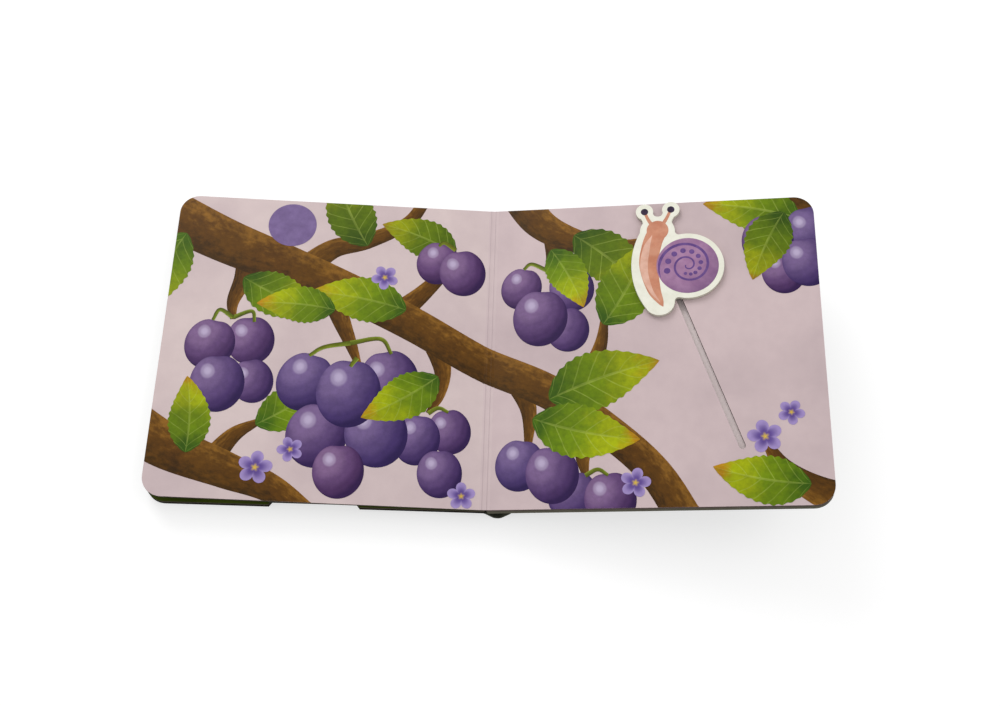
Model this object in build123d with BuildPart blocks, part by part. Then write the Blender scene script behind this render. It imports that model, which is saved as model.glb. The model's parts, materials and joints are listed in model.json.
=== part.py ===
from build123d import *
import math
import os

os.makedirs("parts", exist_ok=True)

# A square board book lying open at a spread whose right page carries a sliding card figure.
# Millimetres. X runs across the spread, Y towards the head of the book, Z up. The tail edge faces -Y.
# The front half rests on its fore edge and on the spine fold; the back half leans up from the fold.
# The gutter sits a little to the right of X = 0, which keeps the spread centred.

# Pages
page_width = 165.0
page_height = 165.0
corner_radius = 10.0

# Board thicknesses, front half
front_cover_thickness = 1.9
lower_leaf_thickness = 1.9
top_leaf_thickness = 1.5

# Board thicknesses, back half
right_page_thickness = 1.7
channel_thickness = 1.5
back_cover_thickness = 2.4

# How the book lies open, in degrees
front_tilt = 2.6
leaf_lift = 2.4
back_tilt = 11.8

# The fold between the two halves
fold_paper = 0.2
front_fold_gap = 0.4
back_fold_gap = 0.2
glued_strip = 3.0

# Thumb notch in the tail edge of the front cover and its leaf
notch_centre = -83.0
notch_width = 44.0
notch_depth = 2.0
notch_run_in = 1.5

# Spine fold, its slopes in degrees
spine_thickness = 1.0
spine_front_slope = 55.0
spine_back_slope = 62.0
spine_crease_radius = 2.2
spine_start_gap = 0.2
spine_tip_gap = 0.85

# Slot and slider, in page coordinates: across from the gutter, then up from the middle of the page
slot_top = (88.6, 46.0)
slot_foot = (123.1, -52.5)
slot_width = 3.2
stem_diameter = 2.6
foot_length = 16.0
foot_width = 12.0
foot_thickness = 0.9
foot_corner = 3.0
channel_side_clearance = 0.5
figure_thickness = 2.0
figure_clearance = 0.3
figure_border = 2.4

# Derived sizes
front_thickness = front_cover_thickness + lower_leaf_thickness + top_leaf_thickness
back_thickness = right_page_thickness + channel_thickness + back_cover_thickness
front_cos = math.cos(math.radians(front_tilt))
front_sin = math.sin(math.radians(front_tilt))
back_cos = math.cos(math.radians(back_tilt))
back_sin = math.sin(math.radians(back_tilt))
travel_across = slot_foot[0] - slot_top[0]
travel_up = slot_foot[1] - slot_top[1]
travel = math.hypot(travel_across, travel_up)
slot_angle = math.degrees(math.atan2(travel_up, travel_across))

# The spread is centred on X = 0, from the lifted leaf's fore edge to the back cover's.
hinge_height = front_thickness + fold_paper
bend = front_fold_gap + glued_strip
leaf_rise = (page_width - bend) * math.tan(math.radians(leaf_lift))
front_reach = page_width * front_cos + (front_thickness + leaf_rise) * front_sin
back_reach = (
    page_width * back_cos
    + (back_thickness + fold_paper) * back_sin
    - hinge_height * front_sin
)
cover_edge_x = (front_reach - back_reach) / 2
cover_edge_z = page_width * front_sin

front_plane = Plane(
    origin=(cover_edge_x, 0, cover_edge_z),
    x_dir=(front_cos, 0, front_sin),
    z_dir=(-front_sin, 0, front_cos),
)
hinge_x = cover_edge_x - hinge_height * front_sin
hinge_z = cover_edge_z + hinge_height * front_cos
back_plane = Plane(
    origin=(hinge_x + fold_paper * back_sin, 0, hinge_z - fold_paper * back_cos),
    x_dir=(back_cos, 0, back_sin),
    z_dir=(-back_sin, 0, back_cos),
)


def page_outline(side, gap):
    """Square page outline: straight at the fold, rounded at its two outer corners."""
    width = page_width - gap
    with BuildSketch() as outline:
        with Locations((side * (gap + width / 2), 0)):
            Rectangle(width, page_height)
        fore_edge = outline.vertices().group_by(Axis.X)[-1 if side > 0 else 0]
        fillet(fore_edge, corner_radius)
    return outline.sketch


def notch_outline():
    """Shallow die-cut notch, wider at the edge than at its floor."""
    edge = -page_height / 2
    left = notch_centre - notch_width / 2
    right = notch_centre + notch_width / 2
    with BuildSketch() as outline:
        with BuildLine():
            Polyline(
                (left, edge - 1),
                (left, edge),
                (left + notch_run_in, edge + notch_depth),
                (right - notch_run_in, edge + notch_depth),
                (right, edge),
                (right, edge - 1),
                close=True,
            )
        make_face()
    return outline.sketch


def along_slot(distance):
    """Place on the page that lies this far down the slot, turned to run along it."""
    share = distance / travel
    across = slot_top[0] + travel_across * share
    up = slot_top[1] + travel_up * share
    return Location((across, up, 0), (0, 0, slot_angle))


left_outline = page_outline(-1, front_fold_gap)
right_outline = page_outline(1, back_fold_gap)

# Front cover: one board under the whole left page
with BuildPart() as front_cover:
    with BuildSketch(front_plane):
        add(left_outline)
        add(notch_outline(), mode=Mode.SUBTRACT)
    extrude(amount=front_cover_thickness)

# Left pages: two leaves bonded along the fold, the upper one lifting off towards the fore edge
leaf_base = front_cover_thickness
leaf_gap = leaf_base + lower_leaf_thickness
beyond = page_width + 5
rise = (beyond - bend) * math.tan(math.radians(leaf_lift))
section_plane = Plane(
    origin=front_plane.origin, x_dir=front_plane.x_dir, z_dir=(0, -1, 0)
)
with BuildPart() as left_pages:
    with BuildSketch(section_plane):
        with BuildLine():
            Polyline(
                (-front_fold_gap, leaf_base),
                (-front_fold_gap, front_thickness),
                (-bend, front_thickness),
                (-beyond, front_thickness + rise),
                (-beyond, leaf_gap + rise),
                (-bend, leaf_gap),
                (-beyond, leaf_gap),
                (-beyond, leaf_base),
                close=True,
            )
        make_face()
    extrude(amount=page_height, both=True)
    with BuildSketch(front_plane):
        add(left_outline)
    extrude(amount=front_thickness + rise, mode=Mode.INTERSECT)
    with BuildSketch(front_plane):
        add(notch_outline())
    extrude(amount=leaf_gap + 0.1, mode=Mode.SUBTRACT)

# Right page: the printed board, pierced by the slot
with BuildPart() as right_page:
    with BuildSketch(back_plane):
        add(right_outline)
        with Locations(along_slot(travel / 2)):
            SlotCenterToCenter(travel, slot_width, mode=Mode.SUBTRACT)
    extrude(amount=-right_page_thickness)

# Slide channel: the board behind the page, cut away where the slider's foot runs
channel_length = travel + foot_length + 2 * channel_side_clearance
channel_width = foot_width + 2 * channel_side_clearance
with BuildPart() as slide_channel:
    with BuildSketch(back_plane.offset(-right_page_thickness)):
        add(right_outline)
        with Locations(along_slot(travel / 2)):
            Rectangle(channel_length, channel_width, mode=Mode.SUBTRACT)
    extrude(amount=-channel_thickness)

# Back cover: closes the channel from behind
with BuildPart() as back_cover:
    with BuildSketch(back_plane.offset(-right_page_thickness - channel_thickness)):
        add(right_outline)
    extrude(amount=-back_cover_thickness)

# Slider foot: a flat plate that cannot leave the channel, and the stem that passes the slot
foot_play = (channel_thickness - foot_thickness) / 2
foot_top = -right_page_thickness - foot_play
with BuildPart() as slider_foot:
    with BuildSketch(back_plane.offset(foot_top)):
        with Locations(along_slot(0)):
            RectangleRounded(foot_length, foot_width, foot_corner)
    extrude(amount=-foot_thickness)
    with BuildSketch(back_plane.offset(foot_top)):
        with Locations(along_slot(0)):
            Circle(stem_diameter / 2)
    extrude(amount=figure_clearance - foot_top)

# Snail figure: a plain snail climbing the page, die-cut with an even border
shell_centre = (100.2, 44.4)
shell_radius = 16.0
body_width = 10.5
tail_tip = (85.6, 24.6)
belly_point = (79.4, 45.0)
head_centre = (85.4, 64.6)
head_radius = 6.6
feeler_width = 1.4
feeler_ball = 2.1
feeler_tips = ((79.0, 76.6), (92.6, 77.4))
feeler_bows = ((81.2, 71.2), (89.8, 71.4))
border_round = 2.0
with BuildPart() as snail_figure:
    with BuildSketch(back_plane.offset(figure_clearance)) as snail_outline:
        with Locations(shell_centre):
            Circle(shell_radius)
        with Locations(head_centre):
            Circle(head_radius)
        with BuildLine():
            body_arc = ThreePointArc(tail_tip, belly_point, head_centre)
        SlotArc(body_arc, body_width)
        for tip, bow in zip(feeler_tips, feeler_bows):
            with BuildLine():
                feeler_arc = ThreePointArc(head_centre, bow, tip)
            SlotArc(feeler_arc, feeler_width)
            with Locations(tip):
                Circle(feeler_ball)
        offset(amount=figure_border + border_round, kind=Kind.ARC)
        offset(amount=-border_round, kind=Kind.ARC)
    extrude(amount=figure_thickness)

# Spine: the stiff fold that hangs below the gutter and carries the middle of the open book.
# Two straight legs run tangent to the rounded crease that rests on the table.
front_slope = math.radians(spine_front_slope)
back_slope = math.radians(spine_back_slope)
start_x = cover_edge_x - front_fold_gap * front_cos + spine_start_gap + spine_thickness / 2
start_z = cover_edge_z - spine_thickness / 2
crease_z = spine_thickness / 2 + spine_crease_radius
front_leg_z = crease_z - spine_crease_radius * math.cos(front_slope)
crease_x = (
    start_x
    + (start_z - front_leg_z) / math.tan(front_slope)
    + spine_crease_radius * math.sin(front_slope)
)
back_leg_x = crease_x + spine_crease_radius * math.sin(back_slope)
back_leg_z = crease_z - spine_crease_radius * math.cos(back_slope)
under_x = back_plane.origin.X + back_thickness * back_sin
under_z = back_plane.origin.Z - back_thickness * back_cos - spine_tip_gap
board_rise = back_sin / back_cos
climb = under_z + (back_leg_x - under_x) * board_rise - back_leg_z
tip_reach = climb / (math.tan(back_slope) - board_rise)
tip = (back_leg_x + tip_reach, back_leg_z + tip_reach * math.tan(back_slope))
with BuildPart() as spine:
    with BuildSketch(Plane.XZ):
        with BuildLine():
            crease = CenterArc(
                (crease_x, crease_z),
                spine_crease_radius,
                270 - spine_front_slope,
                spine_front_slope + spine_back_slope,
            )
            Line((start_x, start_z), crease @ 0)
            Line(crease @ 1, tip)
            offset(amount=spine_thickness / 2, side=Side.BOTH)
        make_face()
    extrude(amount=page_height / 2, both=True)

pieces = {
    "front_cover": front_cover,
    "left_pages": left_pages,
    "spine": spine,
    "back_cover": back_cover,
    "slide_channel": slide_channel,
    "right_page": right_page,
    "slider_foot": slider_foot,
    "snail_figure": snail_figure,
}
for name, piece in pieces.items():
    piece.part.label = name
    export_step(piece.part, f"parts/{name}.step")
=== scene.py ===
import json
import math

import bmesh
import bpy
import numpy as np
from mathutils import Matrix, Vector


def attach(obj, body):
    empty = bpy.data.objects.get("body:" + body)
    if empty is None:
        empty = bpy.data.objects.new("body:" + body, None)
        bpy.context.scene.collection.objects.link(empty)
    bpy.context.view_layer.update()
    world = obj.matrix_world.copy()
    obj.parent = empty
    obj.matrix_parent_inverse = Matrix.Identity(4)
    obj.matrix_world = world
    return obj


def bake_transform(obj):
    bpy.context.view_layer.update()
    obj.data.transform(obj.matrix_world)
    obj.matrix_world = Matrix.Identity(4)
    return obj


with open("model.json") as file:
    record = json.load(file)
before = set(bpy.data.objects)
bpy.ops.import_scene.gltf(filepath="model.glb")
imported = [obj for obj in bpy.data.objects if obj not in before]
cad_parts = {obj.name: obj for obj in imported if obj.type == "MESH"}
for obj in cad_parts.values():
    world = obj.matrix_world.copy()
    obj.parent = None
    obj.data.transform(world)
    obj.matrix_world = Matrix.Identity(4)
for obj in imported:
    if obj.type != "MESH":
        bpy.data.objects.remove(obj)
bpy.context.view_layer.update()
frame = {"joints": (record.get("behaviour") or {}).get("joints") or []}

# The open book, in millimetres and degrees, as the part's source has it.
PAGE = 165.0
CORNER = 10.0
FRONT_TILT = 2.6
LEAF_LIFT = 2.4
BACK_TILT = 11.8
FOLD_PAPER = 0.2

# The lifted leaf leaves the front board this far from the fold.
BEND = 3.4

# Heights of faces above the front cover's outer side.
LOWER_LEAF_FACE = 3.8
TOP_LEAF_FACE = 5.3

# Heights of faces above the right page.
COVER_LINING = -3.2
COVER_BACK = -5.6
FIGURE_FACE = 2.3

# Borders of the printed sheet over the fold, measured from the fold.
FOLD_LEFT = -3.0
FOLD_RIGHT = 2.0

# Ink stands this far off the board, and each layer of it this much over the last: far too little to see.
INK_BASE = 0.02
LAYER = 0.006

# Print stops this far inside a page's cut edge.
EDGE_INSET = 0.03

# Two places closer than this, in mm, are the same.
TINY = 1e-6


def joint_place(name):
    """A point on a joint's axis, in mm."""
    joint = next(each for each in frame["joints"] if each["name"] == name)
    return np.array(joint["pos_m"]) * 1000


def slope(degrees):
    """Unit vectors along a board that rises to the right by this angle, and out of its face."""
    a = math.radians(degrees)
    return np.array([math.cos(a), 0, math.sin(a)]), np.array([-math.sin(a), 0, math.cos(a)])


HINGE = joint_place("book_close")
SPINE_PIVOT = joint_place("spine_turn")
FRONT_ALONG, FRONT_UP = slope(FRONT_TILT)
LEAF_ALONG, LEAF_UP = slope(FRONT_TILT - LEAF_LIFT)
BACK_ALONG, BACK_UP = slope(BACK_TILT)
COVER_EDGE = HINGE - (TOP_LEAF_FACE + FOLD_PAPER) * FRONT_UP
BACK_ORIGIN = HINGE - FOLD_PAPER * BACK_UP


# Placing a drawing on the pages: x from the fold, y from the middle of the page, in mm

def on_left(x, y, lift):
    """Left page: flat for BEND mm from the fold, then along the lifted leaf. x is negative there, and lift is
    out of the page."""
    flat = np.maximum(x, -BEND)
    raised = np.minimum(x + BEND, 0) / math.cos(math.radians(LEAF_LIFT))
    base = COVER_EDGE + TOP_LEAF_FACE * FRONT_UP
    up = np.where((x < -BEND)[..., None], LEAF_UP, FRONT_UP)
    spot = base + flat[..., None] * FRONT_ALONG + raised[..., None] * LEAF_ALONG + lift[..., None] * up
    spot[..., 1] = y
    return spot / 1000


def on_right(x, y, lift):
    """Right page and the figure on it: one plane that rises away from the fold."""
    spot = BACK_ORIGIN + x[..., None] * BACK_ALONG + lift[..., None] * BACK_UP
    spot[..., 1] = y
    return spot / 1000


def within_page(away, up, gutter):
    """Pulls points that lie off the rounded page back to its outline, and says which ones they were. away is
    the distance from the fold, and the print begins at gutter."""
    far = PAGE - EDGE_INSET
    high = PAGE / 2 - EDGE_INSET
    radius = CORNER - EDGE_INSET
    held = np.clip(away, gutter, far)
    held_up = np.clip(up, -high, high)
    dx = held - (far - radius)
    dy = np.abs(held_up) - (high - radius)
    reach = np.hypot(dx, dy)
    corner = (dx > 0) & (dy > 0) & (reach > radius)
    pull = np.where(corner, radius / np.maximum(reach, TINY), 1.0)
    held = np.where(corner, far - radius + dx * pull, held)
    held_up = np.where(corner, np.sign(held_up) * (high - radius + dy * pull), held_up)
    off = (np.abs(held - away) > TINY) | (np.abs(held_up - up) > TINY)
    return held, held_up, off


# Shapes of the print: each is a grid of points x, y with its own pattern coordinates u, v

BOUGH_LANES = 9


def turned(x, y, degrees, place):
    """Turns a drawing about its own origin and moves it to its place."""
    a = math.radians(degrees)
    return place[0] + x * math.cos(a) - y * math.sin(a), place[1] + x * math.sin(a) + y * math.cos(a)


def rings(count, spokes):
    """Polar grid: the ring runs from 0 in the middle to 1, and the spoke's angle once round."""
    return np.meshgrid(np.linspace(0, 1, count), np.linspace(0, 2 * np.pi, spokes), indexing="ij")


def plum(place, across, tall, degrees):
    """Oval on rings and spokes, with a shallow dent at its stalk end: its radius is 1 less a narrow bell
    at the top."""
    ring, spoke = rings(9, 65)
    from_top = np.angle(np.exp(1j * (spoke - np.pi / 2)))
    dent = 1 - 0.09 * np.exp(-(from_top / 0.32) ** 2)
    u, v = ring * np.cos(spoke), ring * np.sin(spoke)
    x, y = turned(u * dent * across / 2, v * dent * tall / 2, degrees, place)
    return x, y, u, v


def leaf(place, length, width, degrees, bow):
    """Leaf along a bowed midrib: half its width is a skewed sine with small teeth, and u runs to the tip."""
    u, v = np.meshgrid(np.linspace(0, 1, 97), np.linspace(-1, 1, 13), indexing="ij")
    half = width / 2 * np.sin(np.pi * u ** 0.82) ** 0.85 * (1 - 0.18 * u)
    teeth = 1 + 0.035 * np.abs(v) ** 3 * np.sin(2 * np.pi * 12 * u)
    rib = bow * length * (u ** 2 - 0.6 * u)
    lean = np.arctan(bow * (2 * u - 0.6))
    x = length * u - half * teeth * v * np.sin(lean)
    y = rib + half * teeth * v * np.cos(lean)
    x, y = turned(x, y, degrees, place)
    return x, y, u, v


def smooth_path(points, steps=24):
    """Catmull-Rom curve through points of any width, worked out as whole arrays."""
    p = np.array(points, float)
    p = np.vstack([2 * p[0] - p[1], p, 2 * p[-1] - p[-2]])
    t = np.linspace(0, 1, steps, endpoint=False)[:, None]
    a, b, c, d = (p[i:len(p) - 3 + i, None, :] for i in range(4))
    bend = (2 * a - 5 * b + 4 * c - d) * t ** 2 + (3 * b - a - 3 * c + d) * t ** 3
    curve = 0.5 * (2 * b + (c - a) * t + bend)
    return np.vstack([curve.reshape(-1, p.shape[1]), p[-2]])


def ribbon(path, lanes=BOUGH_LANES):
    """Band along a path of (x, y, half width): u is the distance along it in mm, v runs from -1 to 1 across."""
    step = np.gradient(path[:, :2], axis=0)
    step /= np.linalg.norm(step, axis=1)[:, None]
    run = np.r_[0, np.cumsum(np.linalg.norm(np.diff(path[:, :2], axis=0), axis=1))]
    v = np.linspace(-1, 1, lanes)
    x = path[:, 0, None] - step[:, 1, None] * path[:, 2, None] * v
    y = path[:, 1, None] + step[:, 0, None] * path[:, 2, None] * v
    return x, y, np.repeat(run[:, None], lanes, 1), np.repeat(v[None, :], len(run), 0)


def bough(*points):
    """A branch: a ribbon whose path and width are eased through the given points."""
    return ribbon(smooth_path(points))


def blossom(place, across, degrees):
    """Five round petals: the outline's radius follows the size of cos(2.5 angle). u is the ring, and v the
    share of a turn."""
    ring, spoke = rings(8, 121)
    lobe = 0.56 + 0.44 * np.abs(np.cos(2.5 * spoke)) ** 0.75
    x = across / 2 * ring * lobe * np.cos(spoke)
    y = across / 2 * ring * lobe * np.sin(spoke)
    x, y = turned(x, y, degrees, place)
    return x, y, ring, spoke / (2 * np.pi)


def disc(place, across):
    """Plain round field, on rings and spokes."""
    ring, spoke = rings(6, 65)
    u, v = ring * np.cos(spoke), ring * np.sin(spoke)
    return place[0] + across / 2 * u, place[1] + across / 2 * v, u, v


# Making the meshes

# Each shape of a print takes its tone from this many seeded draws.
TONES = 400

# A mesh's edges are drawn sharp where its faces turn by more than this many degrees.
SHARP = 40


def mesh_piece(name, spots, uvs, tones, faces, material, body=None):
    """Makes one object from whole arrays: corners, pattern coordinates, tone per corner, four-sided faces.
    Corners at one spot are then joined, which closes seams and the middle of each disc."""
    mesh = bpy.data.meshes.new(name)
    mesh.vertices.add(len(spots))
    mesh.vertices.foreach_set("co", spots.astype(np.float32).ravel())
    mesh.loops.add(faces.size)
    mesh.loops.foreach_set("vertex_index", faces.astype(np.int32).ravel())
    mesh.polygons.add(len(faces))
    mesh.polygons.foreach_set("loop_start", np.arange(0, faces.size, faces.shape[1], dtype=np.int32))
    layer = mesh.uv_layers.new(name="pattern")
    layer.data.foreach_set("uv", uvs[faces.ravel()].astype(np.float32).ravel())
    tone = mesh.attributes.new("tone", "FLOAT", "POINT")
    tone.data.foreach_set("value", tones.astype(np.float32))
    mesh.update(calc_edges=True)
    closed = bmesh.new()
    closed.from_mesh(mesh)
    bmesh.ops.remove_doubles(closed, verts=closed.verts, dist=1e-7)
    closed.to_mesh(mesh)
    closed.free()
    mesh.set_sharp_from_angle(angle=math.radians(SHARP))
    mesh.materials.append(material)
    piece = bpy.data.objects.new(name, mesh)
    bpy.context.scene.collection.objects.link(piece)
    if body:
        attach(piece, body)
    return piece


def grid_faces(rows, columns):
    """Four-sided faces of a grid of rows by columns points, turning counter-clockwise in u, v."""
    at = np.arange(rows * columns).reshape(rows, columns)
    return np.stack([at[:-1, :-1], at[1:, :-1], at[1:, 1:], at[:-1, 1:]], -1).reshape(-1, 4)


def print_piece(name, shapes, side, material, body, seed=1):
    """Lays (layer, shape) pairs on one page or on the figure and joins them into one piece. Faces wholly off
    the page are left out. The pages' prints end at the borders of the sheet over the fold, which has its own."""
    tone_of = np.random.default_rng(seed).uniform(0, 1, TONES)
    spots, uvs, tones, faces = [], [], [], []
    count = 0
    for order, (layer, (x, y, u, v)) in enumerate(shapes):
        lift = np.full(x.shape, INK_BASE + layer * LAYER)
        if side == "figure":
            off = np.zeros(x.shape, bool)
            spot = on_right(x, y, FIGURE_FACE + lift)
        elif side == "left":
            held, held_up, off = within_page(-x, y, -FOLD_LEFT)
            spot = on_left(-held, held_up, lift)
        else:
            held, held_up, off = within_page(x, y, FOLD_RIGHT)
            spot = on_right(held, held_up, lift)
        quads = grid_faces(*x.shape)
        quads = quads[~off.ravel()[quads].all(1)]
        if not len(quads):
            continue
        flat = spot.reshape(-1, 3)
        normal = np.cross(flat[quads[:, 2]] - flat[quads[:, 0]], flat[quads[:, 3]] - flat[quads[:, 1]])
        if normal[:, 2].sum() < 0:
            quads = quads[:, ::-1]
        spots.append(flat)
        uvs.append(np.stack([u.ravel(), v.ravel()], 1))
        tones.append(np.full(x.size, tone_of[order]))
        faces.append(quads + count)
        count += x.size
    spots, uvs, tones, faces = np.vstack(spots), np.vstack(uvs), np.concatenate(tones), np.vstack(faces)
    used, back = np.unique(faces, return_inverse=True)
    return mesh_piece(name, spots[used], uvs[used], tones[used], back.reshape(faces.shape), material, body)


# Materials

# Cut fibre is quite dull, where film over print is satin.
CUT_ROUGHNESS = 0.95
FILM_ROUGHNESS = 0.42

# A board's face is found within this many mm of its height, and the lifted leaf's anywhere up to LEAF_TOP.
NEAR = 0.8
LEAF_TOP = 30.0

# Settings of a Mix node that lays one colour over another, and of one that multiplies them.
OVER = {"data_type": "RGBA"}
TIMES = {"data_type": "RGBA", "blend_type": "MULTIPLY"}


def ink(code):
    """sRGB hex colour to the linear values that the shader takes."""
    c = np.array([int(code[i:i + 2], 16) for i in (1, 3, 5)]) / 255
    c = np.where(c <= 0.04045, c / 12.92, ((c + 0.055) / 1.055) ** 2.4)
    return (*c.tolist(), 1.0)


def grey(level):
    """Neutral colour of this linear level."""
    return (level, level, level, 1.0)


def put(nodes, kind, inputs=None, out=0, stops=(), **settings):
    """Adds one node and gives back one output, or a list of them for several. Settings become its properties,
    inputs are values or sockets to link, and stops are a ramp's places and colours, eased between them."""
    made = nodes.new("ShaderNode" + kind)
    for key, value in settings.items():
        setattr(made, key, value)
    for key, value in (inputs or {}).items():
        if isinstance(value, bpy.types.NodeSocket):
            nodes.id_data.links.new(value, made.inputs[key])
        else:
            made.inputs[key].default_value = value
    if stops:
        made.color_ramp.interpolation = "EASE"
        bands = made.color_ramp.elements
        while len(bands) < len(stops):
            bands.new(0.5)
        for band, (place, colour) in zip(bands, stops):
            band.position = place
            band.color = ink(colour) if isinstance(colour, str) else colour
    return [made.outputs[each] for each in out] if isinstance(out, tuple) else made.outputs[out]


def new_material(name):
    """An empty material and its nodes."""
    made = bpy.data.materials.new(name)
    made.use_nodes = True
    made.node_tree.nodes.clear()
    return made, made.node_tree.nodes


def surface(nodes, colour, roughness, height, depth, strength, constants=None):
    """Ends a material with its shader. height is a pattern whose relief is depth mm high, and constants are the
    settings that are the same all over."""
    normal = put(nodes, "Bump", {"Height": height, "Strength": strength, "Distance": depth / 1000})
    inputs = {"Base Color": colour, "Roughness": roughness, "Normal": normal, **(constants or {})}
    shader = put(nodes, "BsdfPrincipled", inputs)
    put(nodes, "OutputMaterial", {0: shader}, ())


def clouds(nodes, size, detail=3.0, rough=0.55, stretch=None, turn=0.0):
    """Cloudy pattern whose patches are about size mm wide, on the object's own coordinates. Stretch packs it
    closer along an axis, once it is turned to a board's slope."""
    where = put(nodes, "TexCoord", out="Object")
    if stretch:
        where = put(nodes, "Mapping", {0: where, 2: (0.0, math.radians(turn), 0.0), 3: stretch})
    shape = {"Vector": where, "Scale": 1000.0 / size, "Detail": detail, "Roughness": rough}
    return put(nodes, "TexNoise", shape, "Fac")


def film_roughness(nodes, middle=FILM_ROUGHNESS):
    """Roughness of satin film, which drifts by up to 0.05 either way over patches 18 mm wide."""
    drift = clouds(nodes, 18, detail=2)
    return put(nodes, "MapRange", {0: drift, 1: 0.3, 2: 0.7, 3: middle - 0.05, 4: middle + 0.05})


def laminated(nodes, colour, roughness, level=0.15):
    """Ends a material as film of IOR 1.5 over offset print: a low even sheen over the paper's grain."""
    grain = clouds(nodes, 0.9, detail=2)
    surface(nodes, colour, roughness, grain, 0.012, 0.35, {"IOR": 1.5, "Specular IOR Level": level})


def facing(nodes, direction, limit=0.9):
    """1 on the faces whose own normal has a dot product over limit with a direction, else 0."""
    normal = put(nodes, "TexCoord", out="Normal")
    dot = put(nodes, "VectorMath", {0: normal, 1: tuple(direction)}, "Value", operation="DOT_PRODUCT")
    return put(nodes, "Math", {0: dot, 1: limit}, operation="GREATER_THAN")


def on_face(nodes, origin, up, direction, low, high):
    """1 on the faces that look along direction and lie from low to high mm above a plane through origin."""
    spot = put(nodes, "TexCoord", out="Object")
    reach = put(nodes, "VectorMath", {0: spot, 1: tuple(up * 1000)}, "Value", operation="DOT_PRODUCT")
    height = put(nodes, "Math", {0: reach, 1: float(np.dot(origin, up))}, operation="SUBTRACT")
    between = put(nodes, "Math", {0: height, 1: (low + high) / 2, 2: (high - low) / 2}, operation="COMPARE")
    return put(nodes, "Math", {0: facing(nodes, direction), 1: between}, operation="MULTIPLY")


def well_inside(nodes, margin=5.0):
    """1 for what lies at least margin mm inside the head, tail and fore edges of the pages, else 0."""
    x, y = put(nodes, "SeparateXYZ", {0: put(nodes, "TexCoord", out="Object")}, (0, 1))
    along = put(nodes, "Math", {0: x, 1: 0.0, 2: (PAGE - 2 * margin) / 1000}, operation="COMPARE")
    across = put(nodes, "Math", {0: y, 1: 0.0, 2: (PAGE / 2 - margin) / 1000}, operation="COMPARE")
    return put(nodes, "Math", {0: along, 1: across}, operation="MULTIPLY")


def ground_print(nodes, pale, dark):
    """Printed ground tint: broad watery clouds and a faint finer mottle, as a painted wash prints."""
    wash = put(nodes, "ValToRGB", {0: clouds(nodes, 60, detail=2)}, stops=((0.3, dark), (0.72, pale)))
    mottle = put(nodes, "ValToRGB", {0: clouds(nodes, 7, detail=4)},
                 stops=((0.25, (0.97, 0.965, 0.97, 1.0)), (0.75, grey(1.02))))
    return put(nodes, "Mix", {0: 1.0, 6: wash, 7: mottle}, 2, **TIMES)


def greyboard(nodes, pale, dark, tilt):
    """Cut edge of grey chipboard: fibres in layers along the board, streaks 0.23 mm deep and 6 mm long."""
    streak = clouds(nodes, 6, detail=4, rough=0.65, stretch=(1, 1, 26), turn=tilt)
    layered = put(nodes, "ValToRGB", {0: streak}, stops=((0.32, dark), (0.68, pale)))
    speck = clouds(nodes, 0.8, detail=2)
    flecks = put(nodes, "ValToRGB", {0: speck}, stops=((0.3, grey(0.86)), (0.7, grey(1.08))))
    return put(nodes, "Mix", {0: 1.0, 6: layered, 7: flecks}, 2, **TIMES)


def board_material(name, half, faces, edge, inner=None, level=0.15):
    """A board of one half of the book: its faces take their own laminated prints, and its cut edges show bare
    greyboard. Walls of a cut well inside the page take the inner tints, paler than the edges as painted light
    against the shade in the cut's depth. faces lists (direction, lowest mm, highest mm, ground tints)."""
    made, nodes = new_material(name)
    origin, up, tilt = half
    colour = greyboard(nodes, *edge, tilt)
    if inner:
        # Painted light: walls well inside the cut take paler tints where the cut's depth shades them.
        inner_painted_light = greyboard(nodes, *inner, tilt)
        colour = put(nodes, "Mix", {0: well_inside(nodes), 6: colour, 7: inner_painted_light}, 2, **OVER)
    printed = 0.0
    for direction, low, high, tints in faces:
        here = on_face(nodes, origin, up, direction, low, high)
        colour = put(nodes, "Mix", {0: here, 6: colour, 7: ground_print(nodes, *tints)}, 2, **OVER)
        printed = put(nodes, "Math", {0: here, 1: printed}, operation="MAXIMUM")
    roughness = CUT_ROUGHNESS
    if faces:
        roughness = put(nodes, "Mix", {0: printed, 2: CUT_ROUGHNESS, 3: film_roughness(nodes)})
    laminated(nodes, colour, roughness, level)
    return made


FRONT_HALF = (COVER_EDGE, FRONT_UP, FRONT_TILT)
BACK_HALF = (BACK_ORIGIN, BACK_UP, BACK_TILT)
COVER_OLIVE = ("#5E6150", "#4F5244")

# Satin laminated board with a lilac-pink printed ground: the page that the reader looks at.
# The wedge under the lifted leaf shows the next page's green print.
# The left page's ground is the right page's print painted a little lighter: painted light, for the brighter
# light on the left page.
left_page_print = board_material(
    "laminated page board, left", FRONT_HALF,
    [(LEAF_UP, TOP_LEAF_FACE - NEAR, LEAF_TOP, ("#D8C6C4", "#CBB8B9")),
     (FRONT_UP, LOWER_LEAF_FACE - NEAR, LOWER_LEAF_FACE + NEAR, ("#5C6A20", "#3E4C10")),
     (-LEAF_UP, LOWER_LEAF_FACE - NEAR, LEAF_TOP, ("#A9B07A", "#8E9A5C"))],
    # The cut edges take dark greyboard tints, darkened further as painted shade on the front edges turned away
    # from the lamps.
    ("#5F574A", "#37332A"))
right_page_print = board_material(
    "laminated page board, right", BACK_HALF,
    [(BACK_UP, -NEAR, NEAR, ("#D0BCBD", "#C2AFB1"))],
    # The cut edges take dark greyboard tints, darkened further as painted shade on the front edges turned away
    # from the lamps.
    ("#7A6866", "#584A48"))

# Grey chipboard, die-cut: dull, fibrous edges. It is bare inside the channel, where its walls take paler tints
# as painted light against the channel's shade.
channel_board = board_material(
    "bare greyboard", BACK_HALF, [], ("#7C7869", "#5E5A4C"), ("#B8B2A6", "#A29C90"))
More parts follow.
